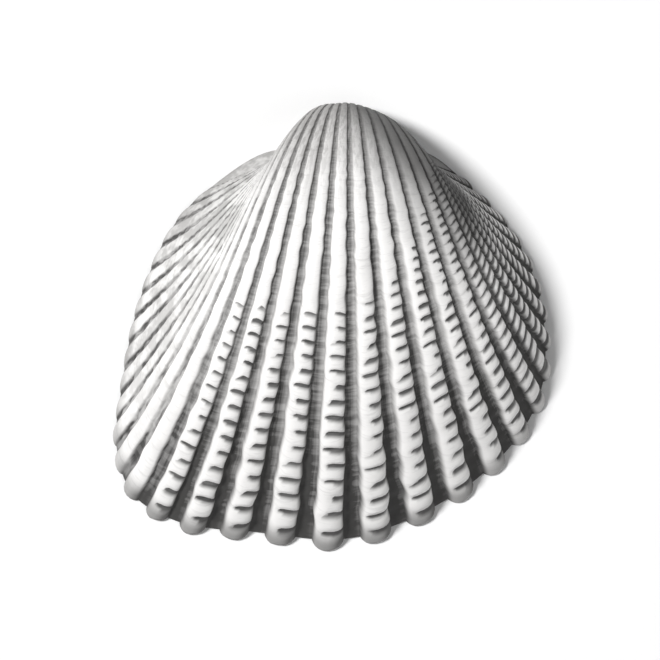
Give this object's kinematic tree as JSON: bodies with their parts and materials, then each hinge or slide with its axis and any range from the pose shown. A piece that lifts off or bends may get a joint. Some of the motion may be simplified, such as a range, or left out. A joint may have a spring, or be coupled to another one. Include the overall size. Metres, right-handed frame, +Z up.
{
  "type": "cockle shell",
  "caption": "Single empty valve of a common cockle: a ribbed, domed shell, hollow underneath, that lies on its scalloped rim with the beak at the back.",
  "frame": {"origin": "under the middle of the shell's box, on the plane of the rim that it lies on", "axes": "+Z up through the back of the shell, +Y towards the beak, +X towards the front end of the animal"},
  "size_m": [0.0446, 0.0452, 0.0151],
  "materials": {
    "shell": "matt, chalky, pale"
  },
  "bodies": {
    "root": {"valve": "shell"}
  },
  "joints": []
}
